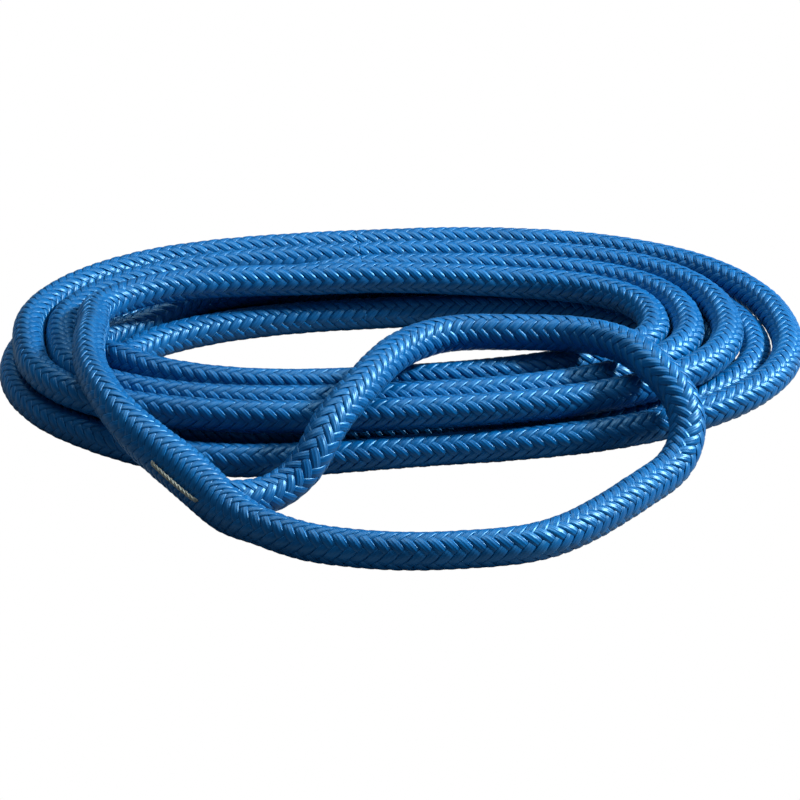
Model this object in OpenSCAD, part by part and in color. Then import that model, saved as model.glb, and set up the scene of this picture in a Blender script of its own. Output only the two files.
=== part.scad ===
// Double-braid line with a spliced soft eye, laid down as a two-layer oval coil.
// Frame: millimetres, +Z up, the coil lies on the plane z = 0 and its long way runs along X.
// The origin is the middle of the coil's footprint, at the bottom. The eye lies towards -Y.

/* [Rope] */
// Outside diameter of the rope
rope_d = 12; // [10:0.5:12]
// Wall of the braided cover
cover_wall = 2.1; // [1.5:0.1:2.5]
// Clearance between the cover and what it holds
braid_gap = 0.1; // [0.05:0.05:0.2]

/* [Coil] */
// Half length of the innermost turn, to the middle of the rope
coil_half_length = 102; // [98:1:106]
// Half width of the innermost turn, to the middle of the rope
coil_half_width = 45; // [43:1:48]
// Fullness of the turns: 2 is an ellipse, more is squarer
coil_fullness = 2.5; // [2.2:0.1:2.7]
// Angle of the coil's long way from X, seen from above
coil_turned = 6; // [4:1:8]
// Gap between turns that lie side by side
lane_gap = 0.35; // [0.2:0.05:0.8]
// Gap between the two layers
layer_gap = 0.2; // [0.1:0.05:0.5]

/* [Eye splice] */
// Thickness of the eye, whose legs hold a part of the tails too
eye_d = 13.4; // [12:0.1:13.6]
// Thickness of the throat, where the tails are buried
throat_d = 17.2; // [15:0.2:17.4]
// Thickness of the buried cover tail at the throat
tail_d = 6.4; // [5:0.2:6.8]
// Thickness of the tail where its last yarns end
tail_tip_d = 1.6; // [1.2:0.2:2.4]

/* [Stitching and whipping] */
// Thickness of the lock-stitch twine
stitch_d = 1.6; // [1.4:0.1:2]
// Length of the lock stitch along the throat
stitch_length = 22; // [19:1:25]
// Distance along the throat from the crotch of the eye to the stitch
stitch_start = 24.5; // [21:0.5:26]
// How deep the stitch beds into the throat
stitch_bed = 0.5; // [0.3:0.1:0.7]
// Height of the stitch's run above the throat's side, as an angle
stitch_angle = 10; // [0:5:20]
// Thickness of the whipping twine at the bitter end
whipping_d = 0.9; // [0.6:0.1:1.1]
// Number of turns of the whipping
whipping_turns = 12; // [8:1:14]
// Length of the melted tip beyond the whipping
tip_length = 4; // [2:0.5:6]
// Rounding of the melted tip's edge
tip_edge = 1; // [0.4:0.2:1.6]

/* [Hidden] */

cover_colour = "royalblue";
core_colour = "aliceblue";
twine_colour = "darkkhaki";
tip_colour = "navy";

// Derived sizes
rope_r = rope_d / 2;
eye_r = eye_d / 2;
lane_pitch = rope_d + lane_gap;
layer_rise = rope_d + layer_gap;
core_r = rope_r - cover_wall - braid_gap;
eye_core_r = eye_r - cover_wall - braid_gap;
sides = 10;
twine_sides = 8;
round_fn = 48;
twine_fn = 24;
coil_middle = [-9.5, 31.5];
rings_per_quarter = 8;
// Clearance between pieces that are pulled tight on each other
seat = 0.05;
// The part of a quarter turn over which a heading is taken
heading_step = 0.02;

// The winding: [quarter turns, lane outwards from the innermost turn, layer upwards from 1].
// Quarter 0 is the far side, 1 the right end, 2 the near side and 3 the left end, and so on round.
winding = [
    // the top layer, from the neck inwards to the outermost lane
    [-1, 0.1, 2.7], [-0.55, 0.2, 2.45], [-0.05, 0.05, 2.2], [0.4, 0, 2], [1, 0, 2], [1.6, -0.3, 2],
    // the first turn dips under the neck and comes up beside it
    [2.2, -0.15, 2], [2.7, -0.5, 2], [3.45, 0.6, 1.1], [3.7, 0.95, 1.6], [4, 1, 2],
    [5, 1, 2], [6, 1, 2], [7, 1, 2], [7.7, 2, 2], [9.2, 2.15, 2], [10, 2, 2], [11, 2, 2],
    // over the right end the outermost lane comes down to the bottom layer
    [11.7, 3, 2], [12.35, 3.75, 1.7], [13.15, 3.95, 1.6], [13.9, 2.4, 1],
    [14.35, 2.85, 1], [14.7, 2.2, 1], [15.1, 2.45, 1],
    // the bottom layer, from the outermost lane to the bitter end under the first turn
    [15.6, 3, 1], [16.1, 2.7, 1], [17.05, 3.05, 1.2], [17.45, 2.1, 1], [17.7, 1.55, 1],
    [18, 1.2, 1], [19, 1.15, 1], [19.5, 1.7, 1], [20, 1.7, 1], [21.05, 2, 1], [21.45, 0.8, 1],
    [22, 0.2, 1], [22.9, -0.9, 1], [24, 0, 1], [24.8, 0.5, 1], [26, -1, 1]];
first_quarter = -1;
last_quarter = 25.5;

// The eye, from the rear leg's root round to the crotch: [x, y, height above lying on the floor]
eye_route = [
    [-63, -91, 4.5], [-48.5, -85, 2.5], [-38, -77.5, 5], [-31, -71.5, 11.5], [-26, -63, 18],
    [-18.5, -50, 23], [-10.5, -34, 25.5], [1, -13, 26], [16.5, -0.5, 25.5], [38, 2, 25], [60.5, 1.5, 24.5],
    [78, -10, 25.5], [88.5, -25, 24], [96.5, -35.5, 18], [99.5, -45.5, 9.5], [95.5, -56, 2],
    [85.5, -70.5, 0], [68, -94, 0], [45, -114.5, 0], [23, -120, 0], [-1, -121.5, 0], [-18, -119, 0],
    [-35, -113, 0], [-48, -105, 1]];
// The throat, from just past the crotch up to the thin end of the buried tail
throat_route = [[-60, -94, 2.8], [-69, -85, 7], [-78, -78, 12], [-89, -69, 17.5], [-98, -58, 22]];
// Swelling of the throat at those points, as a share of its full thickness over the rope
throat_swell = [0.85, 1, 1, 0.75, 0.3];
// The same at the neck's points, where the swelling dies out
neck_swell = [0.3, 0.12, 0, 0, 0];
// The neck, from the throat up on to the coil
neck_route = [[-98, -58, 22], [-106, -40, 24.5], [-111, -18, 24.5], [-112, 1, 24.5]];

// ---- Paths ----

function unit(v) = v / norm(v);
function blend(a, b, t) = a * (1 - t) + b * t;
function ease(t) = t * t * (3 - 2 * t);
function signed_power(v, n) = sign(v) * pow(abs(v), n);
function on_floor(route, r = rope_r) = [for (p = route) [p[0], p[1], p[2] + r]];

// The winding's row before quarter q, and [quarter, lane, layer] eased between two rows
function row_before(q) = max([for (i = [0:len(winding) - 2]) if (winding[i][0] <= q) i]);
function wound(q) =
    let (a = winding[row_before(q)], b = winding[row_before(q) + 1])
    blend(a, b, ease((q - a[0]) / (b[0] - a[0])));

// The coil's middle line at quarter q: an oval, pushed outwards by whole lanes and up by layers
function coil_point(q) =
    let (
        w = wound(q),
        a = 90 - 90 * q,
        n = coil_fullness,
        s = pow(pow(abs(cos(a)), n) + pow(abs(sin(a)), n), -1 / n),
        on_oval = [coil_half_length * cos(a) * s, coil_half_width * sin(a) * s],
        outwards = unit([
            signed_power(cos(a), n - 1) / coil_half_length,
            signed_power(sin(a), n - 1) / coil_half_width]),
        p = on_oval + outwards * lane_pitch * w[1],
        turned = [
            p[0] * cos(coil_turned) - p[1] * sin(coil_turned),
            p[0] * sin(coil_turned) + p[1] * cos(coil_turned)])
    [turned[0] + coil_middle[0], turned[1] + coil_middle[1], rope_r + layer_rise * (w[2] - 1)];

function coil_path(from, to) =
    let (steps = round((to - from) * rings_per_quarter))
    [for (i = [0:steps]) coil_point(blend(from, to, i / steps))];

// The direction of a path at point i, with the points before and after it
function heading(path, i) =
    unit(path[min(i + 1, len(path) - 1)] - path[max(i - 1, 0)]);

// ---- Sweeps ----

// One ring of points about p: angle 0 lies to the left of the heading and 90 on top
function ring(p, along, r, count) =
    let (left = unit(cross([0, 0, 1], along)), top = cross(along, left))
    [for (k = [0:count - 1])
        let (a = 90 + 360 * k / count)
        p + r * (cos(a) * left + sin(a) * top)];

function band(a, b, count) =
    [for (k = [0:count - 1])
        let (n = (k + 1) % count)
        each [[a + k, b + k, a + n], [a + n, b + k, b + n]]];

// A solid rod along path, with a radius and a heading for each point
module rod(path, radii, headings, count) {
    last = len(path) - 1;
    points = [for (i = [0:last]) each ring(path[i], headings[i], radii[i], count)];
    walls = [for (i = [0:last - 1]) each band(i * count, (i + 1) * count, count)];
    ends = [
        [for (k = [0:count - 1]) k],
        [for (k = [count - 1:-1:0]) last * count + k]];
    polyhedron(points, concat(walls, ends), convexity = 10);
}

// A tube along path, with an outer and an inner radius for each point
module tube(path, outer, inner, headings, count) {
    last = len(path) - 1;
    half = (last + 1) * count;
    points = concat(
        [for (i = [0:last]) each ring(path[i], headings[i], outer[i], count)],
        [for (i = [0:last]) each ring(path[i], headings[i], inner[i], count)]);
    outside = [for (i = [0:last - 1]) each band(i * count, (i + 1) * count, count)];
    inside = [for (i = [0:last - 1]) each band(half + (i + 1) * count, half + i * count, count)];
    near_end = band(half, 0, count);
    far_end = band(last * count, half + last * count, count);
    polyhedron(points, concat(outside, inside, near_end, far_end), convexity = 10);
}

function headings_of(path) = [for (i = [0:len(path) - 1]) heading(path, i)];
function even(value, path) = [for (p = path) value];

// Where two stretches meet, both take this heading, so that their ends lie face to face
function with_ends(headings, first, last) =
    [for (i = [0:len(headings) - 1])
        i == 0 ? first : i == len(headings) - 1 ? last : headings[i]];

// ---- The stretches of the line ----

// The quarters at which one stretch of the cover is taken to end and the next to start
turn_ends = [first_quarter, 4, 8, 12, 16, 20, 24];
last_turn_end = turn_ends[len(turn_ends) - 1];

// The heading of the coil's middle line at quarter q, which looks no further than its ends
function coil_heading(q) =
    unit(coil_point(q + (q == last_quarter ? 0 : heading_step))
        - coil_point(q - (q == first_quarter ? 0 : heading_step)));

neck_path = concat(on_floor(neck_route), [coil_point(first_quarter)]);
eye_path = on_floor(eye_route, eye_r);
throat_path = concat([eye_path[len(eye_path) - 1]], on_floor(throat_route));
crotch_heading = unit(throat_path[1] - eye_path[len(eye_path) - 2]);
last_throat = len(throat_path) - 1;
throat_top_heading = unit(neck_path[1] - throat_path[last_throat - 1]);
throat_headings = with_ends(headings_of(throat_path), crotch_heading, throat_top_heading);
neck_headings = with_ends(headings_of(neck_path), throat_top_heading, coil_heading(first_quarter));
swell_r = (throat_d - rope_d) / 2;
throat_outer = concat([eye_r], [for (s = throat_swell) rope_r + swell_r * s]);
throat_inner = [for (r = throat_outer) r - cover_wall];
neck_outer = [for (s = neck_swell) rope_r + swell_r * s];

function coil_headings(from, to) =
    with_ends(headings_of(coil_path(from, to)), coil_heading(from), coil_heading(to));

// The bitter end is drawn in behind its whipping, and runs straight to the tip
end_point = coil_point(last_quarter);
end_heading = coil_heading(last_quarter);
end_shoulder = 6;
whipping_length = whipping_d * whipping_turns;
whipped_r = rope_r - whipping_d - seat;
end_straight = [
    end_point + end_heading * end_shoulder,
    end_point + end_heading * (end_shoulder + whipping_length)];

module turn_cover(i) {
    path = coil_path(turn_ends[i - 1], turn_ends[i]);
    headings = coil_headings(turn_ends[i - 1], turn_ends[i]);
    color(cover_colour)
        tube(path, even(rope_r, path), even(rope_r - cover_wall, path), headings, sides);
}

module bitter_end_cover() {
    wound_part = coil_path(last_turn_end, last_quarter);
    path = concat(wound_part, end_straight);
    headings = concat(coil_headings(last_turn_end, last_quarter), [end_heading, end_heading]);
    outer = concat(even(rope_r, wound_part), [whipped_r, whipped_r]);
    inner = [for (r = outer) r - cover_wall];
    color(cover_colour)
        tube(path, outer, inner, headings, sides);
}

// The core of the neck and the coil in one length, drawn in at the bitter end with its cover
module turns_core() {
    wound_part = coil_path(first_quarter, last_quarter);
    path = concat(on_floor(neck_route), wound_part, end_straight);
    headings = concat(
        [for (i = [0:len(neck_route) - 1]) neck_headings[i]],
        coil_headings(first_quarter, last_quarter),
        [end_heading, end_heading]);
    drawn_r = whipped_r - cover_wall - braid_gap;
    radii = concat(even(core_r, neck_route), even(core_r, wound_part), [drawn_r, drawn_r]);
    color(core_colour)
        rod(path, radii, headings, sides);
}

module neck_cover() {
    color(cover_colour)
        tube(neck_path, neck_outer, [for (r = neck_outer) r - cover_wall], neck_headings, sides);
}

// ---- The throat ----

// The point at distance s along a path
function point_at(path, s, i = 0) =
    let (step = norm(path[i + 1] - path[i]))
    s <= step || i == len(path) - 2
        ? blend(path[i], path[i + 1], s / step)
        : point_at(path, s - step, i + 1);

// The stitch goes through the throat's middle line at both of its ends
stitch_low = point_at(throat_path, stitch_start);
stitch_high = point_at(throat_path, stitch_start + stitch_length);
stitch_middle = blend(stitch_low, stitch_high, 0.5);
stitch_way = unit(stitch_high - stitch_low);
stitch_side = unit(cross([0, 0, 1], stitch_way));
stitch_top = cross(stitch_way, stitch_side);
stitch_out = cos(stitch_angle) * stitch_side + sin(stitch_angle) * stitch_top;
stitch_reach = throat_d / 2 + stitch_d / 2 - stitch_bed;
stitch_corner = stitch_d;

// A point u along the stitch from its middle and v out from the throat's middle line
function stitch_at(u, v) = stitch_middle + stitch_way * u + stitch_out * v;

// One round of the stitch: along the near side, through the throat, and back along the far side
stitch_half = norm(stitch_high - stitch_low) / 2;
stitch_path = [
    stitch_at(-stitch_half + stitch_corner, stitch_reach),
    stitch_at(0, stitch_reach),
    stitch_at(stitch_half - stitch_corner, stitch_reach),
    stitch_at(stitch_half, stitch_reach - stitch_corner),
    stitch_at(stitch_half, stitch_corner - stitch_reach),
    stitch_at(stitch_half - stitch_corner, -stitch_reach),
    stitch_at(0, -stitch_reach),
    stitch_at(-stitch_half + stitch_corner, -stitch_reach),
    stitch_at(-stitch_half, stitch_corner - stitch_reach),
    stitch_at(-stitch_half, stitch_reach - stitch_corner)];

// A closed ring of twine: its last section joins the first
module closed_twine(path, r) {
    count = len(path);
    up = cross(stitch_way, stitch_out);
    points = [for (i = [0:count - 1])
        let (
            along = unit(path[(i + 1) % count] - path[(i + count - 1) % count]),
            side = cross(up, along))
        each [for (k = [0:twine_sides - 1])
            let (a = 360 * k / twine_sides)
            path[i] + r * (cos(a) * side + sin(a) * up)]];
    walls = [for (i = [0:count - 1])
        each band(i * twine_sides, ((i + 1) % count) * twine_sides, twine_sides)];
    polyhedron(points, walls, convexity = 10);
}

module lock_stitch() {
    color(twine_colour)
        closed_twine(stitch_path, stitch_d / 2);
}

// The way that the stitch takes through the braids
module stitch_way_through() {
    closed_twine(stitch_path, stitch_d / 2 + seat);
}

module throat_cover() {
    color(cover_colour)
        difference() {
            tube(throat_path, throat_outer, throat_inner, throat_headings, sides);
            stitch_way_through();
        }
}

// The core swells over the buried tail
tail_radii = [for (i = [0:last_throat]) blend(tail_d, tail_tip_d, i / last_throat) / 2];

module throat_core() {
    outer = [for (i = [0:last_throat])
        i == last_throat ? core_r : throat_inner[i] - braid_gap];
    inner = [for (r = tail_radii) r + braid_gap];
    color(core_colour)
        difference() {
            tube(throat_path, outer, inner, throat_headings, sides);
            stitch_way_through();
        }
}

module cover_tail() {
    color(cover_colour)
        difference() {
            rod(throat_path, tail_radii, throat_headings, sides);
            stitch_way_through();
        }
}

// ---- The eye ----

eye_headings = with_ends(headings_of(eye_path), unit(eye_path[1] - eye_path[0]), crotch_heading);

// The throat's outside, which the rear leg comes out of. It starts just past the front leg's end.
module throat_side() {
    path = [for (i = [0:last_throat]) throat_path[i] + (i == 0 ? seat : 0) * crotch_heading];
    rod(path, [for (r = throat_outer) r + seat], throat_headings, sides);
}

module eye_cover() {
    color(cover_colour)
        difference() {
            tube(eye_path, even(eye_r, eye_path), even(eye_r - cover_wall, eye_path), eye_headings, sides);
            throat_side();
        }
}

module eye_core() {
    color(core_colour)
        difference() {
            rod(eye_path, even(eye_core_r, eye_path), eye_headings, sides);
            throat_side();
        }
}

// ---- The bitter end ----

// Turns what is drawn along +Z to the bitter end, `ahead` of where the wound part stops
module at_end(ahead) {
    left = unit(cross([0, 0, 1], end_heading));
    top = cross(end_heading, left);
    p = end_point + end_heading * ahead;
    multmatrix([
        [left[0], top[0], end_heading[0], p[0]],
        [left[1], top[1], end_heading[1], p[1]],
        [left[2], top[2], end_heading[2], p[2]],
        [0, 0, 0, 1]])
        children();
}

// Close turns of twine, pulled tight over the drawn-in cover and bedded in each other a little
module end_whipping() {
    inner_r = whipped_r + seat;
    twine_r = whipping_d / 2;
    bedded = twine_r / 3;
    color(twine_colour)
        at_end(end_shoulder)
            rotate_extrude($fn = round_fn)
                union() {
                    translate([inner_r, 0])
                        square([twine_r + bedded, whipping_length]);
                    for (i = [0:whipping_turns - 1])
                        translate([inner_r + twine_r, (i + 0.5) * whipping_d])
                            circle(r = twine_r, $fn = twine_fn);
                }
}

// The cut yarns, melted into one plug with a rounded edge
module melted_tip() {
    plug_r = whipped_r - seat;
    rounded = [for (a = [0:15:90])
        [plug_r - tip_edge * (1 - cos(a)), tip_length - tip_edge * (1 - sin(a))]];
    color(tip_colour)
        at_end(end_shoulder + whipping_length)
            rotate_extrude($fn = round_fn)
                polygon(concat([[0, 0], [plug_r, 0]], rounded, [[0, tip_length]]));
}

turn_cover(1);  // turn_1_cover
turn_cover(2);  // turn_2_cover
turn_cover(3);  // turn_3_cover
turn_cover(4);  // turn_4_cover
turn_cover(5);  // turn_5_cover
turn_cover(6);  // turn_6_cover
bitter_end_cover();
turns_core();
neck_cover();
throat_cover();
throat_core();
cover_tail();
eye_cover();
eye_core();
lock_stitch();
end_whipping();
melted_tip();
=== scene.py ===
"""A 12 mm double-braid dock line with a spliced, lock-stitched soft eye, lying as a low oval coil.

The line is one route from the eye round through the throat, over the neck and down the coil's turns to
the whipped bitter end. Its braided cover is woven strand by strand round that route.
"""

import logging
import math
from dataclasses import dataclass, field
from enum import Enum

import bmesh
import bpy
import numpy as np
from mathutils import Matrix, Vector


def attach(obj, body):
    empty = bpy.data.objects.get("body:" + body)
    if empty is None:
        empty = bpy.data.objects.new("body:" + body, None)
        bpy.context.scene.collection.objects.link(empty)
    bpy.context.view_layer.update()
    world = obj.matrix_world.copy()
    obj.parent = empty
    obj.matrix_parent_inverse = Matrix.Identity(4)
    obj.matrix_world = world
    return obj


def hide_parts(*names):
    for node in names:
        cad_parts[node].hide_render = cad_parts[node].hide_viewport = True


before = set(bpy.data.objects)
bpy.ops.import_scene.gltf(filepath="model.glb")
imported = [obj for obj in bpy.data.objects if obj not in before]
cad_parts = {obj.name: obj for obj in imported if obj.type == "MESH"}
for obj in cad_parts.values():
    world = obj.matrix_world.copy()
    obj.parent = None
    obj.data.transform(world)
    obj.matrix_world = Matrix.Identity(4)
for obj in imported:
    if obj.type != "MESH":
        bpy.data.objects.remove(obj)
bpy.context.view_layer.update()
MM = 0.001
WELD = 0.0005 * MM  # corners closer than this are one
WAVE_RATE = 20  # a wave texture turns through 20 radians for each unit of its vector

logging.basicConfig(level=logging.INFO, format="%(message)s")
log = logging.getLogger("dock_line")


# ---- Colours and shader nodes ----


def linear(code: str) -> tuple[float, float, float, float]:
    """Turns an sRGB hex colour into the linear colour that shaders take.

    Args:
        code: The colour as "#RRGGBB".

    Returns:
        Red, green and blue, linear, and an alpha of 1.
    """
    parts = [int(code[i : i + 2], 16) / 255 for i in (1, 3, 5)]
    r, g, b = (c / 12.92 if c <= 0.04045 else ((c + 0.055) / 1.055) ** 2.4 for c in parts)
    return (r, g, b, 1.0)


def node(
    tree: bpy.types.NodeTree,
    kind: str,
    settings: dict[str, object] | None = None,
    **inputs: object,
) -> bpy.types.Node:
    """Adds a shader node with its settings, its values and its links.

    Args:
        tree: The node tree that it goes into.
        kind: The node's type, without "ShaderNode" in front.
        settings: Attributes of the node itself. Under "stops" it has a colour ramp's stops, each
            with its place from 0 to 1 and its sRGB hex colour.
        **inputs: A value or an output socket for each input, named with _ for a space, or iN for
            the input with number N.

    Returns:
        The new node.
    """
    made = tree.nodes.new("ShaderNode" + kind)
    for key, value in (settings or {}).items():
        if key != "stops":
            setattr(made, key, value)
            continue
        elements = made.color_ramp.elements
        while len(elements) < len(value):
            elements.new(0.5)
        for element, (place, code) in zip(elements, value):
            element.position = place
            element.color = linear(code)
    for key, value in inputs.items():
        numbered = key[0] == "i" and key[1:].isdigit()
        socket = made.inputs[int(key[1:]) if numbered else key.replace("_", " ")]
        if isinstance(value, bpy.types.NodeSocket):
            tree.links.new(value, socket)
        else:
            socket.default_value = value
    return made


def wave_scale(period: float) -> float:
    """Gives the scale at which a wave texture's bands stand one period apart.

    Args:
        period: The distance between two bands, in the units of the texture's vector.

    Returns:
        The value for the texture's scale.
    """
    return 2 * math.pi / period / WAVE_RATE


def blank(name: str) -> tuple[bpy.types.Material, bpy.types.NodeTree]:
    """Makes a material with an empty node tree.

    Args:
        name: The material's name.

    Returns:
        The material and its node tree.
    """
    material = bpy.data.materials.new(name)
    material.use_nodes = True
    material.node_tree.nodes.clear()
    return material, material.node_tree


# ---- Finishes ----


@dataclass(frozen=True)
class BraidedNylon:
    """Solution-dyed nylon yarn, braided: bundles of smooth round filaments with a silky gloss."""

    name: str = "braided_nylon_blue"
    deep: str = "#004A7C"
    body: str = "#005C94"
    # the lightest dye tone: reached where the random drift and streaks run high, and on the yarns'
    # crowns, where it is painted light
    lightest: str = "#00689A"
    # painted shade: the dark colour that strands are mixed towards where they dive under their
    # neighbours, standing in for the shade in the weave's crevices
    buried: str = "#003C68"
    gloss: str = "#98E0F8"
    yarn_mm: float = 1.08  # three yarns lie side by side in a strand
    filament_mm: float = 0.3  # drawn coarser than real filaments, so that they show
    streaks_per_mm: float = 0.22  # a filament keeps its tone for about 4.5 mm
    drift_per_m: float = 45.0  # the dye drifts over about 22 mm
    filament_tone: float = 0.35
    # painted shade: the yarn bands darken the grooves between the yarns and lighten their crowns
    yarn_groove_shade: float = 0.2
    tones: tuple[float, float] = (0.35, 1.65)  # the sums that give the deep and the lightest colour
    filament_bump: float = 0.12
    yarn_bump: float = 0.25
    roughness: float = 0.38
    shine: float = 0.6
    glaze: float = 0.28
    glaze_roughness: float = 0.32
    anisotropy: float = 0.7
    sheen: float = 0.05

    def build(self) -> bpy.types.Material:
        """Builds the material from the piece's own UV map, in millimetres along and across a strand."""
        material, tree = blank(self.name)
        uv = node(tree, "UVMap", {"uv_map": "strand"}).outputs["UV"]
        place = node(tree, "TexCoord").outputs["Object"]
        depth = node(tree, "Attribute", {"attribute_name": "depth"}).outputs["Fac"]
        shade = node(tree, "Attribute", {"attribute_name": "shade"}).outputs["Fac"]
        drift = node(
            tree, "TexNoise", {}, Vector=place, Scale=self.drift_per_m, Detail=2.0, Roughness=0.5
        ).outputs["Fac"]
        stretched = node(
            tree, "Mapping", {}, Vector=uv, Scale=(self.streaks_per_mm, 1 / self.filament_mm, 1.0)
        ).outputs["Vector"]
        fibre = node(
            tree, "TexNoise", {}, Vector=stretched, Scale=1.0, Detail=2.0, Roughness=0.6
        ).outputs["Fac"]
        yarns = node(
            tree,
            "TexWave",
            {"wave_type": "BANDS", "bands_direction": "Y", "wave_profile": "SIN"},
            Vector=uv,
            Scale=wave_scale(self.yarn_mm),
            Phase_Offset=math.pi / 2,
            Distortion=0.5,
            Detail=1.0,
        ).outputs["Fac"]
        tone = node(
            tree, "Math", {"operation": "ADD"}, i0=drift, i1=shade
        ).outputs["Value"]
        tone = node(
            tree, "Math", {"operation": "MULTIPLY_ADD"}, i0=fibre, i1=self.filament_tone, i2=tone
        ).outputs["Value"]
        # painted shade: darker in the grooves between yarns, on top of the random drift, tint and
        # streaks
        tone = node(
            tree, "Math", {"operation": "MULTIPLY_ADD"}, i0=yarns, i1=self.yarn_groove_shade, i2=tone
        ).outputs["Value"]
        tone = node(
            tree, "MapRange", {}, Value=tone, From_Min=self.tones[0], From_Max=self.tones[1]
        ).outputs["Result"]
        stops = [(0.0, self.deep), (0.5, self.body), (1.0, self.lightest)]
        dye = node(tree, "ValToRGB", {"stops": stops}, Fac=tone).outputs["Color"]
        # painted shade: the dye is mixed towards the buried colour where the strand lies deep in the
        # weave
        colour = node(
            tree, "Mix", {"data_type": "RGBA"}, i0=depth, i6=dye, i7=linear(self.buried)
        ).outputs[2]
        fine = node(
            tree, "Bump", {}, Strength=self.filament_bump, Distance=0.08 * MM, Height=fibre
        ).outputs["Normal"]
        bump = node(
            tree, "Bump", {}, Strength=self.yarn_bump, Distance=0.3 * MM, Height=yarns, Normal=fine
        ).outputs["Normal"]
        along = node(
            tree, "Tangent", {"direction_type": "UV_MAP", "uv_map": "strand"}
        ).outputs["Tangent"]
        shader = node(
            tree,
            "BsdfPrincipled",
            {},
            Base_Color=colour,
            Roughness=self.roughness,
            IOR=1.53,
            Specular_IOR_Level=self.shine,
            Specular_Tint=linear(self.gloss),
            Anisotropic=self.anisotropy,
            Tangent=along,
            Sheen_Weight=self.sheen,
            Sheen_Roughness=0.35,
            Sheen_Tint=linear(self.gloss),
            Coat_Weight=self.glaze,
            Coat_Roughness=self.glaze_roughness,
            Normal=bump,
        )
        node(tree, "OutputMaterial", {}, Surface=shader.outputs["BSDF"])
        return material


@dataclass(frozen=True)
class InnerNylon:
    """Undyed nylon inside the cover, braided finer: off-white, matte where the yarns are short."""

    name: str
    light: str = "#E9EAE6"
    dark: str = "#B9BBB8"
    yarn_mm: float = 1.6
    turns: tuple[float, float] = (0.7, -0.9)  # how the two sets of yarns are turned, in radians
    tilt: float = 0.6
    bump: float = 0.6
    roughness: float = 0.6

    def build(self) -> bpy.types.Material:
        """Builds the material from Object coordinates, as two crossing sets of yarns."""
        material, tree = blank(self.name)
        place = node(tree, "TexCoord").outputs["Object"]
        sets = []
        for turn in self.turns:
            turned = node(
                tree, "Mapping", {}, Vector=place, Rotation=(self.tilt, turn, turn)
            ).outputs["Vector"]
            sets.append(
                node(
                    tree,
                    "TexWave",
                    {"wave_type": "BANDS", "bands_direction": "DIAGONAL"},
                    Vector=turned,
                    Scale=wave_scale(self.yarn_mm * MM),
                    Distortion=1.5,
                    Detail=1.0,
                ).outputs["Fac"]
            )
        woven = node(
            tree, "Math", {"operation": "MAXIMUM"}, i0=sets[0], i1=sets[1]
        ).outputs["Value"]
        stops = [(0.0, self.dark), (0.8, self.light)]
        colour = node(tree, "ValToRGB", {"stops": stops}, Fac=woven).outputs["Color"]
        bump = node(
            tree, "Bump", {}, Strength=self.bump, Distance=0.2 * MM, Height=woven
        ).outputs["Normal"]
        shader = node(
            tree,
            "BsdfPrincipled",
            {},
            Base_Color=colour,
            Roughness=self.roughness,
            IOR=1.53,
            Sheen_Weight=0.2,
            Normal=bump,
        )
        node(tree, "OutputMaterial", {}, Surface=shader.outputs["BSDF"])
        return material


@dataclass(frozen=True)
class WaxedTwine:
    """Waxed polyester twine: khaki, tightly laid, with the dull gloss of wax in its grooves."""

    name: str = "waxed_twine_khaki"
    light: str = "#C4B49C"
    dark: str = "#8C7A66"
    streaks_per_mm: tuple[float, float] = (0.8, 6.0)  # along and round a ply
    bump: float = 0.3
    roughness: float = 0.6

    def build(self) -> bpy.types.Material:
        """Builds the material from the UV map, in millimetres along and round each ply."""
        material, tree = blank(self.name)
        uv = node(tree, "UVMap", {"uv_map": "strand"}).outputs["UV"]
        stretched = node(
            tree, "Mapping", {}, Vector=uv, Scale=(*self.streaks_per_mm, 1.0)
        ).outputs["Vector"]
        fibre = node(
            tree, "TexNoise", {}, Vector=stretched, Scale=1.0, Detail=3.0, Roughness=0.6
        ).outputs["Fac"]
        stops = [(0.3, self.dark), (0.7, self.light)]
        colour = node(tree, "ValToRGB", {"stops": stops}, Fac=fibre).outputs["Color"]
        bump = node(
            tree, "Bump", {}, Strength=self.bump, Distance=0.06 * MM, Height=fibre
        ).outputs["Normal"]
        shader = node(
            tree,
            "BsdfPrincipled",
            {},
            Base_Color=colour,
            Roughness=self.roughness,
            IOR=1.5,
            Coat_Weight=0.15,
            Coat_Roughness=0.4,
            Normal=bump,
        )
        node(tree, "OutputMaterial", {}, Surface=shader.outputs["BSDF"])
        return material


@dataclass(frozen=True)
class MeltedNylon:
    """Nylon yarn ends melted together with a flame: near black, glassy, with pits and runs."""

    name: str = "melted_nylon_navy"
    light: str = "#123A6B"
    dark: str = "#04101F"
    lump_mm: float = 1.5
    bump: float = 0.7
    roughness: float = 0.28

    def build(self) -> bpy.types.Material:
        """Builds the material from Object coordinates, as soft lumps."""
        material, tree = blank(self.name)
        place = node(tree, "TexCoord").outputs["Object"]
        lumps = node(
            tree,
            "TexNoise",
            {},
            Vector=place,
            Scale=1 / (self.lump_mm * MM),
            Detail=3.0,
            Roughness=0.55,
        ).outputs["Fac"]
        stops = [(0.3, self.dark), (0.75, self.light)]
        colour = node(tree, "ValToRGB", {"stops": stops}, Fac=lumps).outputs["Color"]
        bump = node(
            tree, "Bump", {}, Strength=self.bump, Distance=0.3 * MM, Height=lumps
        ).outputs["Normal"]
        shader = node(
            tree,
            "BsdfPrincipled",
            {},
            Base_Color=colour,
            Roughness=self.roughness,
            IOR=1.53,
            Normal=bump,
        )
        node(tree, "OutputMaterial", {}, Surface=shader.outputs["BSDF"])
        return material


# ---- The route of the line ----


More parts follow.
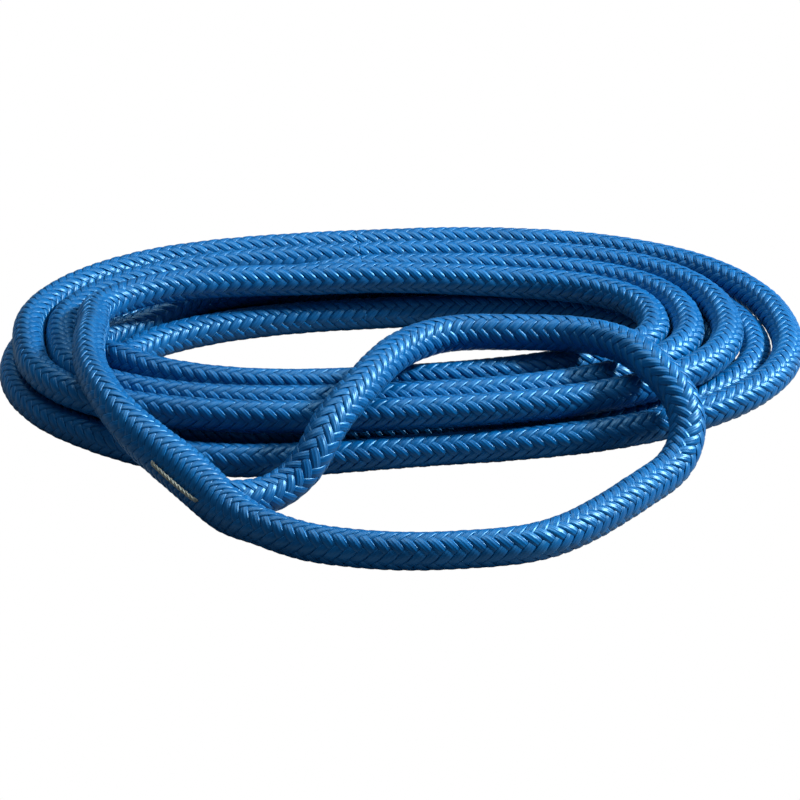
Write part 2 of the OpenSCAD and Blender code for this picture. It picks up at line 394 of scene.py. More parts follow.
@dataclass(frozen=True)
class Winding:
    """The coil's middle line, in millimetres: an oval that is pushed out by lanes and up by layers.

    Quarter 0 is the far side, 1 the right end, 2 the near side and 3 the left end, and so on round.
    """

    half_length: float = 102
    half_width: float = 45
    fullness: float = 2.5
    turned: float = math.radians(6)
    lane_pitch: float = 12.35
    layer_rise: float = 12.2
    rope_r: float = 6
    middle: tuple[float, float] = (-9.5, 31.5)
    first: float = -1
    last: float = 25.5
    look_back: float = 0.02  # quarter turns from the last point to one that shows its direction
    rings_per_quarter: int = 8
    # quarter turns, lane outwards from the innermost turn, layer upwards from 1
    rows: tuple[tuple[float, float, float], ...] = (
        # the top layer, from the neck inwards to the outermost lane
        (-1, 0.1, 2.7), (-0.55, 0.2, 2.45), (-0.05, 0.05, 2.2), (0.4, 0, 2), (1, 0, 2), (1.6, -0.3, 2),
        # the first turn dips under the neck and comes up beside it
        (2.2, -0.15, 2), (2.7, -0.5, 2), (3.45, 0.6, 1.1), (3.7, 0.95, 1.6), (4, 1, 2),
        (5, 1, 2), (6, 1, 2), (7, 1, 2), (7.7, 2, 2), (9.2, 2.15, 2), (10, 2, 2), (11, 2, 2),
        # over the right end the outermost lane comes down to the bottom layer
        (11.7, 3, 2), (12.35, 3.75, 1.7), (13.15, 3.95, 1.6), (13.9, 2.4, 1),
        (14.35, 2.85, 1), (14.7, 2.2, 1), (15.1, 2.45, 1),
        # the bottom layer, from the outermost lane to the bitter end under the first turn
        (15.6, 3, 1), (16.1, 2.7, 1), (17.05, 3.05, 1.2), (17.45, 2.1, 1), (17.7, 1.55, 1),
        (18, 1.2, 1), (19, 1.15, 1), (19.5, 1.7, 1), (20, 1.7, 1), (21.05, 2, 1), (21.45, 0.8, 1),
        (22, 0.2, 1), (22.9, -0.9, 1), (24, 0, 1), (24.8, 0.5, 1), (26, -1, 1),
    )  # fmt: skip

    def point(self, quarter: float) -> np.ndarray:
        """Gives the middle line's point at a quarter turn.

        Args:
            quarter: The place along the winding, in quarter turns.

        Returns:
            x, y and z in millimetres.
        """
        before = max(i for i in range(len(self.rows) - 1) if self.rows[i][0] <= quarter)
        a, b = (np.array(self.rows[i], float) for i in (before, before + 1))
        t = (quarter - a[0]) / (b[0] - a[0])
        _, lane, layer = a + (b - a) * t * t * (3 - 2 * t)
        angle = math.radians(90 - 90 * quarter)
        c, s, n = math.cos(angle), math.sin(angle), self.fullness
        scale = (abs(c) ** n + abs(s) ** n) ** (-1 / n)
        outwards = np.array([
            math.copysign(abs(c) ** (n - 1), c) / self.half_length,
            math.copysign(abs(s) ** (n - 1), s) / self.half_width,
        ])
        outwards /= np.linalg.norm(outwards)
        flat = np.array([self.half_length * c * scale, self.half_width * s * scale])
        flat += outwards * self.lane_pitch * lane
        ct, st = math.cos(self.turned), math.sin(self.turned)
        return np.array([
            flat[0] * ct - flat[1] * st + self.middle[0],
            flat[0] * st + flat[1] * ct + self.middle[1],
            self.rope_r + self.layer_rise * (layer - 1),
        ])

    def points(self) -> tuple[list[float], list[np.ndarray]]:
        """Gives the quarters and the points of the whole winding, evenly stepped.

        Returns:
            The quarters, and the point at each.
        """
        count = round((self.last - self.first) * self.rings_per_quarter)
        quarters = [self.first + i / self.rings_per_quarter for i in range(count + 1)]
        return quarters, [self.point(q) for q in quarters]


@dataclass
class Route:
    """The whole line's middle: a smooth curve through the listed points and the winding.

    Distances are millimetres along the line from the root of the eye's rear leg. The listed
    points give x, y and the height above lying on the floor.
    """

    winding: Winding = field(default_factory=Winding)
    rope_r: float = 6
    eye_r: float = 6.7
    step: float = 1.0
    eye: tuple[tuple[float, float, float], ...] = (
        (-63, -91, 4.5), (-48.5, -85, 2.5), (-38, -77.5, 5), (-31, -71.5, 11.5), (-26, -63, 18),
        (-18.5, -50, 23), (-10.5, -34, 25.5), (1, -13, 26), (16.5, -0.5, 25.5), (38, 2, 25),
        (60.5, 1.5, 24.5), (78, -10, 25.5), (88.5, -25, 24), (96.5, -35.5, 18), (99.5, -45.5, 9.5),
        (95.5, -56, 2), (85.5, -70.5, 0), (68, -94, 0), (45, -114.5, 0), (23, -120, 0),
        (-1, -121.5, 0), (-18, -119, 0), (-35, -113, 0), (-48, -105, 1),
    )  # fmt: skip
    throat: tuple[tuple[float, float, float], ...] = (
        (-60, -94, 2.8), (-69, -85, 7), (-78, -78, 12), (-89, -69, 17.5), (-98, -58, 22),
    )
    neck: tuple[tuple[float, float, float], ...] = (
        (-106, -40, 24.5), (-111, -18, 24.5), (-112, 1, 24.5),
    )
    # how much of swell_r the buried tail adds at each throat and neck point
    throat_swell: tuple[float, ...] = (0.85, 1, 1, 0.75, 0.3, 0.12, 0, 0)
    swell_r: float = 2.6
    bell: int = 13  # steps of the bell curve that softens the swelling
    end_shoulder: float = 6
    whipping_length: float = 10.8
    whipped_r: float = 5.05
    rope_lead: float = 35.5  # along the line for one turn of a strand
    throat_lead: float = 21.5
    samples: int = 24  # of the curve between two knots
    # what the methods work out: the named distances, and lists with one entry for each step
    marks: dict[str, float] = field(init=False)
    length: float = field(init=False)
    s: np.ndarray = field(init=False)
    line: np.ndarray = field(init=False)
    side: np.ndarray = field(init=False)
    up: np.ndarray = field(init=False)
    radius: np.ndarray = field(init=False)
    phase: np.ndarray = field(init=False)
    end_heading: np.ndarray = field(init=False)
    _knot_s: np.ndarray = field(init=False)

    def __post_init__(self) -> None:
        """Lays the curve out."""
        laid = [np.array([x, y, h + self.eye_r]) for x, y, h in self.eye]
        laid += [np.array([x, y, h + self.rope_r]) for x, y, h in self.throat + self.neck]
        quarters, wound = self.winding.points()
        heading = wound[-1] - self.winding.point(self.winding.last - self.winding.look_back)
        self.end_heading = heading / np.linalg.norm(heading)
        straight = [
            wound[-1] + self.end_heading * ahead
            for ahead in (self.end_shoulder, self.end_shoulder + self.whipping_length)
        ]
        knots = np.array(laid + wound + straight)
        self._smooth(knots)
        first_wound = len(laid)
        self.marks = {
            "root": 0.0,
            "crotch": self._knot_s[len(self.eye) - 1],
            "wound_end": self._knot_s[first_wound + len(wound) - 1],
            "tip": self._knot_s[-1],
        }
        for q, s in zip(quarters, self._knot_s[first_wound:]):
            if q == self.winding.first or q % 4 == 0:
                self.marks[f"quarter_{q:g}"] = s
        self._frames()
        self._swelling()

    def _smooth(self, knots: np.ndarray) -> None:
        """Runs a natural cubic spline through the knots and measures it off in even steps.

        Args:
            knots: The points to run through, in millimetres.
        """
        chord = np.linalg.norm(np.diff(knots, axis=0), axis=1)
        count = len(knots)
        system = np.zeros((count, count))
        pull = np.zeros((count, 3))
        system[0, 0] = system[-1, -1] = 1
        slope = np.diff(knots, axis=0) / chord[:, None]
        for i in range(1, count - 1):
            system[i, i - 1 : i + 2] = chord[i - 1], 2 * (chord[i - 1] + chord[i]), chord[i]
            pull[i] = 6 * (slope[i] - slope[i - 1])
        bend = np.linalg.solve(system, pull)
        fine = []
        for i in range(count - 1):
            t = np.linspace(0, 1, self.samples, endpoint=False)[:, None]
            h = chord[i]
            fine.append(
                knots[i] * (1 - t)
                + knots[i + 1] * t
                + h * h / 6 * (((1 - t) ** 3 - (1 - t)) * bend[i] + (t**3 - t) * bend[i + 1])
            )
        fine.append(knots[-1:])
        curve = np.concatenate(fine)
        along = np.concatenate([[0], np.cumsum(np.linalg.norm(np.diff(curve, axis=0), axis=1))])
        self._knot_s = along[:: self.samples]
        self.length = float(along[-1])
        self.s = np.linspace(0, self.length, math.ceil(self.length / self.step) + 1)
        self.line = np.stack([np.interp(self.s, along, curve[:, k]) for k in range(3)], axis=1)

    def _frames(self) -> None:
        """Carries one sideways direction along the line without letting it turn."""
        heading = np.gradient(self.line, self.s, axis=0)
        heading /= np.linalg.norm(heading, axis=1)[:, None]
        side = np.zeros_like(heading)
        side[0] = np.cross((0, 0, 1), heading[0])
        for i in range(len(heading)):
            carried = side[max(i - 1, 0)]
            carried = carried - heading[i] * (carried @ heading[i])
            side[i] = carried / np.linalg.norm(carried)
        self.side, self.up = side, np.cross(heading, side)

    def _swelling(self) -> None:
        """Works out the line's outside radius and the braid's turning at each step."""
        knots = self._knot_s[len(self.eye) - 1 :][: len(self.throat_swell) + 1]
        in_eye = (self.eye_r - self.rope_r) / self.swell_r
        swell = np.interp(self.s, knots, (in_eye, *self.throat_swell))
        soft = np.exp(-(np.linspace(-2, 2, self.bell) ** 2))
        padded = np.pad(swell, self.bell // 2, mode="edge")
        swell = np.convolve(padded, soft / soft.sum(), mode="valid")
        start = self.marks["wound_end"]
        drawn = np.interp(self.s, [start, start + self.end_shoulder], [0, 1])
        drawn = drawn * drawn * (3 - 2 * drawn)
        self.radius = self.rope_r + self.swell_r * swell
        self.radius += (self.whipped_r - self.rope_r) * drawn
        tight = np.clip((swell - in_eye) / (1 - in_eye), 0, 1)
        lead = self.rope_lead + (self.throat_lead - self.rope_lead) * tight
        turning = 2 * math.pi / lead
        self.phase = np.concatenate(
            [[0], np.cumsum((turning[1:] + turning[:-1]) / 2 * np.diff(self.s))]
        )

    def at(self, values: np.ndarray, s: np.ndarray | float) -> np.ndarray:
        """Reads a list kept for every step at any distance.

        Args:
            values: One number or point for each step of the line.
            s: Distances along the line.

        Returns:
            The values there.
        """
        if values.ndim == 1:
            return np.interp(s, self.s, values)
        return np.stack([np.interp(s, self.s, values[:, k]) for k in range(values.shape[1])], -1)

    def middle(self, start: float, end: float, spacing: float = 4.0) -> list[list[float]]:
        """Gives the middle line of one stretch in metres.

        Args:
            start: Where the stretch starts, in millimetres along the line.
            end: Where it ends.
            spacing: The distance between points.

        Returns:
            The points, as lists of x, y and z.
        """
        s = np.linspace(start, end, max(2, math.ceil((end - start) / spacing) + 1))
        return (self.at(self.line, s) * MM).tolist()

    def around(self, s: np.ndarray, angle: np.ndarray, radius: np.ndarray) -> np.ndarray:
        """Places points round the line.

        Args:
            s: Distances along the line.
            angle: Angles round it, in radians.
            radius: Distances from it, in millimetres.

        Returns:
            The points in millimetres.
        """
        out = (
            self.at(self.side, s) * np.cos(angle)[:, None]
            + self.at(self.up, s) * np.sin(angle)[:, None]
        )
        return self.at(self.line, s) + out * radius[:, None]


# ---- Meshes ----


def rolled_sheets(counts: list[tuple[int, int]]) -> tuple[bpy.types.Mesh, np.ndarray]:
    """Makes one flat grid for each strand, to be rolled up into a closed rod by moving its points.

    Args:
        counts: Rows along and columns round for each strand. The last column lies on the first.

    Returns:
        The mesh, and each vertex's strand, row and column.
    """
    sheet = bmesh.new()
    sheet.loops.layers.uv.new("strand")
    for number, (rows, columns) in enumerate(counts):
        bmesh.ops.create_grid(
            sheet,
            x_segments=rows - 1,
            y_segments=columns - 1,
            size=1.0,
            matrix=Matrix.Translation((0, 0, number)),
        )
    mesh = bpy.data.meshes.new("sheets")
    sheet.to_mesh(mesh)
    sheet.free()
    flat = np.zeros(len(mesh.vertices) * 3, np.float32)
    mesh.vertices.foreach_get("co", flat)
    flat = flat.reshape(-1, 3)
    strand = np.rint(flat[:, 2]).astype(int)
    sizes = np.array(counts)[strand]
    row = np.rint((flat[:, 0] + 1) / 2 * (sizes[:, 0] - 1)).astype(int)
    column = np.rint((flat[:, 1] + 1) / 2 * (sizes[:, 1] - 1)).astype(int)
    return mesh, np.stack([strand, row, column], axis=1)


def roll_up(
    name: str,
    mesh: bpy.types.Mesh,
    points: np.ndarray,
    uv: np.ndarray,
    shades: dict[str, np.ndarray],
    close: bool = True,
) -> bpy.types.Object:
    """Moves a grid's points into place, joins its edges and closes its ends.

    Args:
        name: The finished piece's name.
        mesh: The flat grids.
        points: Each vertex's place in millimetres.
        uv: Each vertex's place on the strand in millimetres, along and across.
        shades: Values to keep for each vertex, by name.
        close: True where the ends are open and take a cap.

    Returns:
        The piece, in the scene, with its place in its mesh.
    """
    mesh.vertices.foreach_set("co", (points * MM).astype(np.float32).ravel())
    loops = np.zeros(len(mesh.loops), np.int32)
    mesh.loops.foreach_get("vertex_index", loops)
    mesh.uv_layers["strand"].uv.foreach_set("vector", uv[loops].astype(np.float32).ravel())
    for key, values in shades.items():
        mesh.attributes.new(key, "FLOAT", "POINT").data.foreach_set(
            "value", values.astype(np.float32)
        )
    body = bmesh.new()
    body.from_mesh(mesh)
    bmesh.ops.remove_doubles(body, verts=body.verts, dist=WELD)
    for face in body.faces:
        face.smooth = True
    if close:
        rims = [edge for edge in body.edges if edge.is_boundary]
        for face in bmesh.ops.holes_fill(body, edges=rims, sides=0)["faces"]:
            face.smooth = False
    bmesh.ops.recalc_face_normals(body, faces=body.faces)
    body.to_mesh(mesh)
    body.free()
    mesh.name = name
    made = bpy.data.objects.new(name, mesh)
    bpy.context.scene.collection.objects.link(made)
    return made


# ---- The braided cover ----


class Lay(Enum):
    """Which way a strand winds round the line."""

    LEFT = 1
    RIGHT = -1


@dataclass(frozen=True)
class Braid:
    """A 16-plait cover, eight strands each way, over two and under two."""

    per_lay: int = 8
    crossing_mm: float = 3.24  # along a strand from one crossing to the next
    across_mm: float = 1.6  # what 1 across the section stands for
    wave_mm: float = 0.32
    crown_mm: float = 0.5
    # across a strand from edge to edge, then back under it: half widths and heights above its middle
    section: tuple[tuple[float, float], ...] = (
        (-1.08, 0.08), (-0.74, 0.36), (0.0, 0.46), (0.74, 0.36), (1.08, 0.08), (0.6, -0.4), (-0.6, -0.4),
    )  # fmt: skip
    crown_corner: int = 2  # the section's corner on the strand's middle line
    # where a strand's rows stand within one over and under, in crossings from the middle of the float
    rows: tuple[float, ...] = (-2.0, -1.4, -1.1, -0.78, -0.42, 0.0, 0.42, 0.78, 1.1, 1.4)
    repeat: int = 4  # crossings in one over and under
    flatness: float = 1.6
    uneven_mm: float = 0.07
    wander: float = 0.05
    wander_rate: float = 0.61
    wander_shift: float = 2.4
    variety: int = 997  # floats before a strand's unevenness comes round again
    streak_shift_mm: float = 37.0  # between two strands' streaks, so that they don't match
    # painted shade in the weave's crevices: how strongly a strand is darkened, and from how far below
    # the crown
    painted_shade_share: float = 0.2
    painted_shade_from_depth: float = 0.25
    shade_share: float = 0.16
    seed: int = 12

    def height(self, x: np.ndarray) -> np.ndarray:
        """Gives a strand's height in the weave.

        Args:
            x: Crossings from the middle of a float.

        Returns:
            1 on top of the weave and -1 under it.
        """
        return np.tanh(self.flatness * np.cos(math.pi * x / 2)) / math.tanh(self.flatness)

    def offset(self, lay: Lay, number: int) -> float:
        """Gives how far a strand's floats are shifted along it, in crossings."""
        return 2 * number - 0.5 if lay is Lay.LEFT else 2.5 - 2 * number

    def crossings(self, lay: Lay, number: int, first: float, last: float) -> np.ndarray:
        """Lists where one strand's rows stand on a stretch.

        Args:
            lay: The way that the strand winds.
            number: The strand's number in its lay.
            first: The crossing at which the stretch starts.
            last: The crossing at which it ends.

        Returns:
            Crossings, with one row beyond each end, which is then drawn back to it.
        """
        shift = self.offset(lay, number)
        low = math.floor((first + shift) / self.repeat) - 1
        high = math.ceil((last + shift) / self.repeat) + 1
        every = [self.repeat * k + x - shift for k in range(low, high + 1) for x in self.rows]
        inside = [u for u in every if first - 0.5 < u < last + 0.5]
        return np.array([first - 1.0, *inside, last + 1.0])


@dataclass
class BraidedCover:
    """One stretch of the cover, woven round the route."""

    name: str
    start: float
    end: float
    stands_for: tuple[str, ...]
    lay_style: str = "coiled"
    braid: Braid = field(default_factory=Braid)

    def build(self, route: Route, finish: bpy.types.Material) -> bpy.types.Object:
        """Args:
            route: The line's route.
            finish: The cover's material.

        Returns:
            The finished piece.
        """
        braid = self.braid
        strands = [(lay, number) for lay in Lay for number in range(braid.per_lay)]
        turn_per_crossing = math.pi / braid.per_lay
        phase_0, phase_1 = route.at(route.phase, self.start), route.at(route.phase, self.end)
        first, last = phase_0 / turn_per_crossing, phase_1 / turn_per_crossing
        rows = [braid.crossings(lay, number, first, last) for lay, number in strands]
        columns = len(braid.section) + 1
        mesh, which = rolled_sheets([(len(r), columns) for r in rows])
        strand, row, column = which.T
        starts = np.concatenate([[0], np.cumsum([len(r) for r in rows])])[:-1]
        crossing = np.concatenate(rows)[starts[strand] + row]
        section = np.array(braid.section + braid.section[:1])
        across, rise = section[column].T
        sign = np.array([lay.value for lay, _ in strands])[strand]
        number = np.array([n for _, n in strands])[strand]
        shift = np.array([braid.offset(lay, n) for lay, n in strands])[strand]
        # a strand's points are drawn back to the stretch's two ends along the strand itself
        lean = across * sign / 2
        crossing = np.clip(crossing, first + lean, last + lean)
        along = crossing + shift
        height = braid.height(along)
        rng = np.random.default_rng(braid.seed)
        plump = rng.uniform(-1, 1, (len(strands), braid.variety))
        half_float = braid.repeat / 2
        which_float = np.floor((along + half_float) / braid.repeat).astype(int) % braid.variety
        plumper = plump[strand, which_float] * np.clip(height, 0, 1)
        sway = np.sin(crossing * braid.wander_rate + strand * braid.wander_shift)
        phase = turn_per_crossing * (crossing - lean)
        turned = sign * crossing + (across + braid.wander * sway) / 2
        angle = 2 * math.pi * number / braid.per_lay + turned * turn_per_crossing
        s = np.interp(phase, route.phase, route.s)
        outside = route.at(route.radius, s)
        radius = outside - braid.crown_mm - braid.wave_mm + braid.wave_mm * height + rise
        radius += braid.uneven_mm * plumper
        points = route.around(s, angle, radius)
        rim = np.linalg.norm(np.diff(section * (braid.across_mm, 1.0), axis=0), axis=1)
        rim = np.concatenate([[0], np.cumsum(rim)])
        uv = np.stack([crossing * braid.crossing_mm, rim[column] - rim[braid.crown_corner]], axis=1)
        uv[:, 0] += strand * braid.streak_shift_mm
        # painted shade: how far a point lies below the cover's crown sets how dark the first value
        # paints it; the second value is a random tint for each float
        below = (outside - radius) / (braid.wave_mm + braid.crown_mm)
        shades = {
            "depth": braid.painted_shade_share * np.clip(below - braid.painted_shade_from_depth, 0, 1),
            "shade": braid.shade_share * plump[strand, which_float],
        }
        made = roll_up(self.name, mesh, points, uv, shades)
        made.data.materials.append(finish)
        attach(made, "root")
        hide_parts(*self.stands_for)
        middle = route.middle(self.start, self.end)
        faces = sum(len(p.vertices) - 2 for p in made.data.polygons)
        log.info("%s: %.3f m of cover, %d triangles", self.name, (self.end - self.start) * MM, faces)
        return made


# ---- Twine ----


@dataclass
class LockStitch:
    """One round of waxed twine through the throat, which keeps the buried tail from slipping."""

    name: str = "lock_stitch_twine"
    twine_r: float = 0.8
    length: float = 22
    start: float = 24.5
    bed: float = 0.5
    angle: float = math.radians(10)
    throat_r: float = 8.6
    bow: float = 0.35
    corner: float = 1.76
    plies: int = 3
    ply_lead: float = 5.6
    squeeze: float = 1.12  # how much thicker the plies are than three that only touch
    ply_shift: float = 9.0  # between two plies' streaks, so that they don't match
    row: float = 0.45
    ring: int = 7

    def path(self, route: Route) -> tuple[np.ndarray, np.ndarray]:
        """Lays out the closed round of the stitch.

        Args:
            route: The line's route.

        Returns:
            Points every fraction of a millimetre, the last one next to the first, and the
            direction square to the plane that they lie in.
        """
        crotch = route.marks["crotch"]
        low, high = (route.at(route.line, crotch + d) for d in (self.start, self.start + self.length))
        middle, way = (low + high) / 2, (high - low) / np.linalg.norm(high - low)
        side = np.cross((0, 0, 1), way)
        side /= np.linalg.norm(side)
        top = np.cross(way, side)
        out = math.cos(self.angle) * side + math.sin(self.angle) * top
        half = np.linalg.norm(high - low) / 2
        reach = self.throat_r + self.twine_r - self.bed
        corner = self.corner
        walk = []
        quarter = np.linspace(0, math.pi / 2, 9)[:, None]
        run = np.linspace(-1, 1, 61)[1:-1, None]
        for sign in (1, -1):
            # along one side of the throat, a little slack in its middle
            u = run * (half - corner) * sign
            walk.append(middle + way * u + out * sign * (reach + self.bow * (1 - run**2)))
            # round the corner and through the throat to the other side
            centre = middle + sign * (way * (half - corner) + out * (reach - corner))
            walk.append(centre + sign * corner * (way * np.sin(quarter) + out * np.cos(quarter)))
            v = np.linspace(1, -1, 41)[1:-1, None] * (reach - corner) * sign
            walk.append(middle + way * half * sign + out * v)
            centre = middle + sign * (way * (half - corner) - out * (reach - corner))
            walk.append(centre + sign * corner * (way * np.cos(quarter) - out * np.sin(quarter)))
        return np.concatenate(walk), np.cross(out, way)

    def build(self, route: Route, finish: bpy.types.Material) -> bpy.types.Object:
        """Lays the plies round the path.

        Args:
            route: The line's route.
            finish: The twine's material.

        Returns:
            The finished piece.
        """
        line, normal = self.path(route)
        closed = np.concatenate([line, line[:1]])
        along = np.concatenate([[0], np.cumsum(np.linalg.norm(np.diff(closed, axis=0), axis=1))])
        total = along[-1]
        rows = math.ceil(total / self.row)
        s = np.linspace(0, total, rows + 1)
        centre = np.stack([np.interp(s, along, closed[:, k]) for k in range(3)], axis=1)
        ahead = np.roll(centre[:-1], -1, axis=0) - np.roll(centre[:-1], 1, axis=0)
        heading = ahead / np.linalg.norm(ahead, axis=1)[:, None]
        heading = np.concatenate([heading, heading[:1]])
        side = np.cross(normal, heading)
        side /= np.linalg.norm(side, axis=1)[:, None]
        mesh, which = rolled_sheets([(rows + 1, self.ring + 1)] * self.plies)
        ply, row, column = which.T
        turns = round(total / self.ply_lead)
        twist = 2 * math.pi * (turns * s[row] / total + ply / self.plies)
        ply_r = self.twine_r / (1 + 2 / math.sqrt(3)) * self.squeeze
        off = self.twine_r - ply_r
        around = 2 * math.pi * column / self.ring

        def out_at(angle: np.ndarray) -> np.ndarray:
            """Gives the direction at an angle round the twine."""
            return side[row] * np.cos(angle)[:, None] + normal * np.sin(angle)[:, None]

        points = centre[row] + out_at(twist) * off + out_at(twist + around) * ply_r
        round_ply = column * 2 * math.pi * ply_r / self.ring
        uv = np.stack([s[row], round_ply + ply * self.ply_shift], axis=1)
        made = roll_up(self.name, mesh, points, uv, {}, close=False)
        made.data.materials.append(finish)
        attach(made, "root")
        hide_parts("lock_stitch")
        log.info("%s: %.0f mm of twine", self.name, total)
        return made


@dataclass
class Whipping:
    """Close turns of waxed twine round the bitter end."""

    name: str = "bitter_end_whipping"
    twine_d: float = 0.9
    turns: int = 12
    clearance: float = 0.05
    tuck: float = 0.15  # of a turn, over which each end goes under
    steps: int = 40
    ring: int = 8

    def build(self, route: Route, finish: bpy.types.Material) -> bpy.types.Object:
        """Winds the twine as one helix with its ends tucked under.

        Args:
            route: The line's route.
            finish: The twine's material.

        Returns:
            The finished piece.
        """
        rows = self.turns * self.steps + 1
        mesh, which = rolled_sheets([(rows, self.ring + 1)])
        _, row, column = which.T
        turn = row / self.steps
        half = self.twine_d / 2
        along = half + turn / self.turns * (self.turns - 1) * self.twine_d
        s0 = route.marks["wound_end"] + route.end_shoulder
        out = np.clip(np.minimum(turn, self.turns - turn) / self.tuck, 0, 1)
        r = route.whipped_r + self.clearance + half - (1 - out) * self.twine_d
        around = 2 * math.pi * column / self.ring
        points = route.around(
            s0 + along + half * np.cos(around), 2 * math.pi * turn, r + half * np.sin(around)
        )
        uv = np.stack([turn * 2 * math.pi * r, column * math.pi * self.twine_d / self.ring], axis=1)
        made = roll_up(self.name, mesh, points, uv, {})
        made.data.materials.append(finish)
        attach(made, "root")
        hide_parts("end_whipping")
        log.info("%s: %d turns", self.name, self.turns)
        return made


@dataclass
class MeltedTip:
    """The yarn ends beyond the whipping, melted into one lumpy plug."""

    name: str = "bitter_end_melted_tip"
    length: float = 4
    inset: float = 0.05
    side_rings: tuple[float, float] = (0.9, 1.8)
    edge: float = 1.3
    dimple: tuple[float, float] = (0.1, 0.35)  # how deep halfway in and at the middle
    lump: float = 0.28
    even_to: float = 1.5  # the lumps start above this height
    weld: float = 0.001
    steps: int = 48

    def build(self, route: Route, finish: bpy.types.Material) -> bpy.types.Object:
        """Spins the plug's profile and pushes lumps into it.

        Args:
            route: The line's route.
            finish: The melted nylon's material.

        Returns:
            The finished piece.
        """
        plug_r = route.whipped_r - self.inset
        profile = [(plug_r * k / 3, 0.0) for k in range(4)]
        profile += [(plug_r, height) for height in self.side_rings]
        profile += [
            (
                plug_r - self.edge * (1 - math.cos(math.radians(a))),
                self.length - self.edge * (1 - math.sin(math.radians(a))),
            )
            for a in range(0, 91, 15)
        ]
        profile += [(plug_r * r, self.length - d) for r, d in zip((0.5, 0.0), self.dimple)]
        plug = bmesh.new()
        spots = [plug.verts.new((r, 0, z)) for r, z in profile]
        edges = [plug.edges.new(pair) for pair in zip(spots, spots[1:])]
        bmesh.ops.spin(
            plug,
            geom=spots + edges,
            axis=(0, 0, 1),
            cent=(0, 0, 0),
            steps=self.steps,
            angle=2 * math.pi,
            use_merge=True,
        )
        bmesh.ops.remove_doubles(plug, verts=plug.verts, dist=self.weld)
        bmesh.ops.recalc_face_normals(plug, faces=plug.faces)
        for vert in plug.verts:
            x, y, z = vert.co
            # waves 3 to 4 mm long, with shorter ones across them
            wave = math.sin(2.1 * x + 0.7) * math.sin(1.7 * y - 0.4)
            wave += 0.5 * math.sin(3.3 * x - 2.9 * y)
            vert.co.z += self.lump * wave * max(0.0, z - self.even_to) / self.length
        for face in plug.faces:
            face.smooth = True
        ahead = route.end_heading
        left = np.cross((0, 0, 1), ahead)
        left /= np.linalg.norm(left)
        top = np.cross(ahead, left)
        foot = route.at(route.line, route.length)
        turn = Matrix(np.stack([left, top, ahead], axis=1).tolist()).to_4x4()
        bmesh.ops.transform(
            plug,
            matrix=Matrix.Scale(MM, 4) @ Matrix.Translation(foot.tolist()) @ turn,
            verts=plug.verts,
        )
        mesh = bpy.data.meshes.new(self.name)
        plug.to_mesh(mesh)
        plug.free()
        made = bpy.data.objects.new(self.name, mesh)
        bpy.context.scene.collection.objects.link(made)
        made.data.materials.append(finish)
        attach(made, "root")
        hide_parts("melted_tip")
        log.info("%s: %.0f mm long", self.name, self.length)
        return made


@dataclass
class InnerParts:
    """What lies inside the cover, whose solids stay as they are and get their finish."""

    cores: tuple[str, ...] = ("turns_core", "throat_core", "eye_core")
    tail: str = "cover_tail"

    def dress(self) -> None:
        """Gives the cores and the buried tail their materials."""
        white = InnerNylon("braided_nylon_white").build()
        blue = InnerNylon("buried_nylon_blue", light="#1A67B5", dark="#0A3F80").build()
        for name in (*self.cores, self.tail):
            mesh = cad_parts[name].data
            mesh.materials.clear()
            mesh.materials.append(blue if name == self.tail else white)
            log.info("%s: dressed", name)


# ---- The studio ----


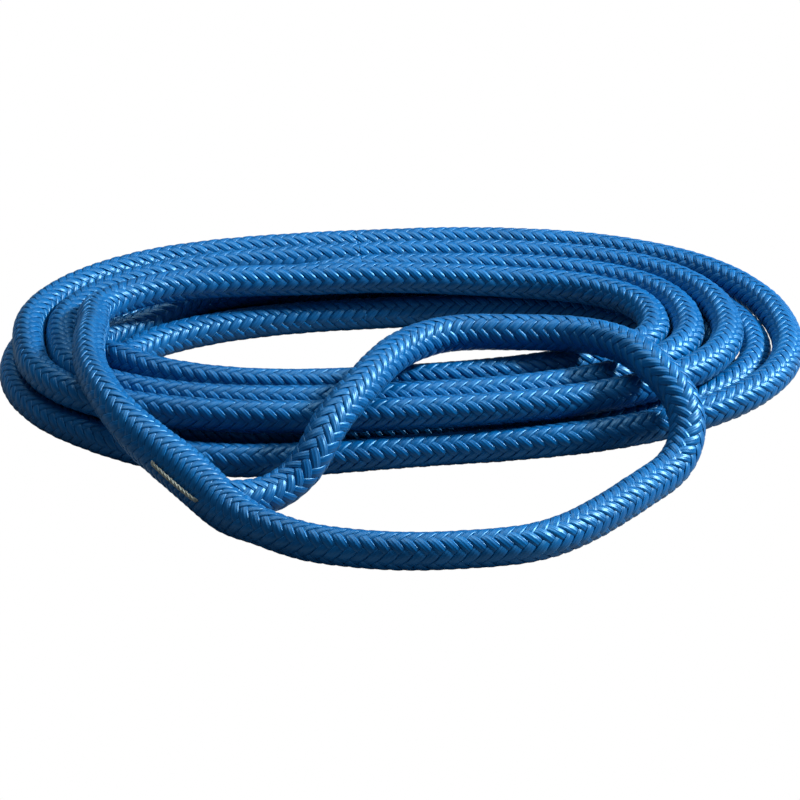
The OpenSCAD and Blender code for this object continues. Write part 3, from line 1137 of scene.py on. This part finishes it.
@dataclass
class Studio:
    """A pale floor, soft lights and the camera."""

    lens: float = 198
    sensor: float = 36
    camera_at: tuple[float, float, float] = (-0.001, -1.4356, 0.6753)
    pitch: float = math.radians(65)
    floor_half: float = 6.0
    floor_gap: float = 0.0003
    floor_bounce: str = "#848486"
    daylight: str = "#D4F0FF"
    surroundings: str = "#A6DAFF"
    surroundings_power: float = 0.12

    def camera(self) -> None:
        """Puts the camera at the viewing angle."""
        data = bpy.data.cameras.new("camera")
        data.lens, data.sensor_width = self.lens, self.sensor
        data.clip_start, data.clip_end = 0.05, 20
        made = bpy.data.objects.new("camera", data)
        made.location, made.rotation_euler = self.camera_at, (self.pitch, 0, 0)
        bpy.context.scene.collection.objects.link(made)
        bpy.context.scene.camera = made

    def floor(self) -> None:
        """Lays the floor just under the line."""
        sheet = bmesh.new()
        bmesh.ops.create_grid(sheet, x_segments=2, y_segments=2, size=self.floor_half)
        mesh = bpy.data.meshes.new("floor")
        sheet.to_mesh(mesh)
        sheet.free()
        made = bpy.data.objects.new("floor", mesh)
        made.location.z = -self.floor_gap
        bpy.context.scene.collection.objects.link(made)
        material, tree = blank("pale_floor")
        # seen straight it is plain white, and to the line it sends back only a little light
        seen = node(tree, "LightPath").outputs["Is Camera Ray"]
        dim = node(tree, "BsdfDiffuse", {}, Color=linear(self.floor_bounce)).outputs["BSDF"]
        glow = node(tree, "Emission", {}, Color=(1, 1, 1, 1), Strength=1.0).outputs["Emission"]
        both = node(tree, "MixShader", {}, i0=seen, i1=dim, i2=glow).outputs["Shader"]
        node(tree, "OutputMaterial", {}, Surface=both)
        mesh.materials.append(material)

    def light(self, name: str, at: tuple[float, float, float], size: float, power: float) -> None:
        """Hangs one square softbox that faces the middle of the coil.

        Args:
            name: The light's name.
            at: Where it hangs, in metres.
            size: The length of its side.
            power: Its power in watts.
        """
        data = bpy.data.lights.new(name, "AREA")
        data.shape, data.size, data.energy = "SQUARE", size, power
        data.color = linear(self.daylight)[:3]
        made = bpy.data.objects.new(name, data)
        made.location = at
        made.rotation_euler = (-Vector(at)).to_track_quat("-Z", "Y").to_euler()
        bpy.context.scene.collection.objects.link(made)

    def lights(self) -> None:
        """Hangs a key high on the right, a broad top light and a weak fill from the front."""
        self.light("key", (1.0, 0.2, 0.8), 0.22, 36)
        self.light("top", (-0.1, 0.4, 1.2), 1.1, 11)
        self.light("fill", (0.6, -0.5, 1.1), 0.9, 0.6)
        world = bpy.data.worlds.new("studio")
        world.use_nodes = True
        background = world.node_tree.nodes["Background"]
        background.inputs["Color"].default_value = linear(self.surroundings)
        background.inputs["Strength"].default_value = self.surroundings_power
        bpy.context.scene.world = world
        bpy.context.scene.view_settings.view_transform = "Standard"


# ---- The whole line ----


@dataclass
class DockLine:
    """The line from the eye to the bitter end."""

    route: Route = field(default_factory=Route)

    def stretches(self) -> list[BraidedCover]:
        """Lists the cover's stretches in their order along the line.

        Returns:
            The stretches, not yet woven.
        """
        marks = self.route.marks
        wound = [marks[f"quarter_{q}"] for q in (-1, 4, 8, 12, 16, 20, 24)]
        throat_nodes = ("throat_cover", "neck_cover")
        found = [
            BraidedCover("eye_braid", marks["root"], marks["crotch"], ("eye_cover",), "loose"),
            BraidedCover("throat_braid", marks["crotch"], wound[0], throat_nodes, "loose"),
        ]
        for i, (start, end) in enumerate(zip(wound, wound[1:]), 1):
            found.append(BraidedCover(f"turn_{i}_braid", start, end, (f"turn_{i}_cover",)))
        found.append(
            BraidedCover("bitter_end_braid", wound[-1], marks["tip"], ("bitter_end_cover",))
        )
        return found

    def build(self) -> None:
        """Builds the cover first, and then the twine, the tip and the inner parts' finish."""
        cover = BraidedNylon().build()
        for stretch in self.stretches():
            stretch.build(self.route, cover)
        twine = WaxedTwine().build()
        LockStitch().build(self.route, twine)
        Whipping().build(self.route, twine)
        MeltedTip().build(self.route, MeltedNylon().build())
        InnerParts().dress()


def main() -> None:
    """Builds the studio and the line, and notes their size."""
    studio = Studio()
    studio.camera()
    DockLine().build()
    studio.floor()
    studio.lights()


if __name__ == "__main__":
    main()
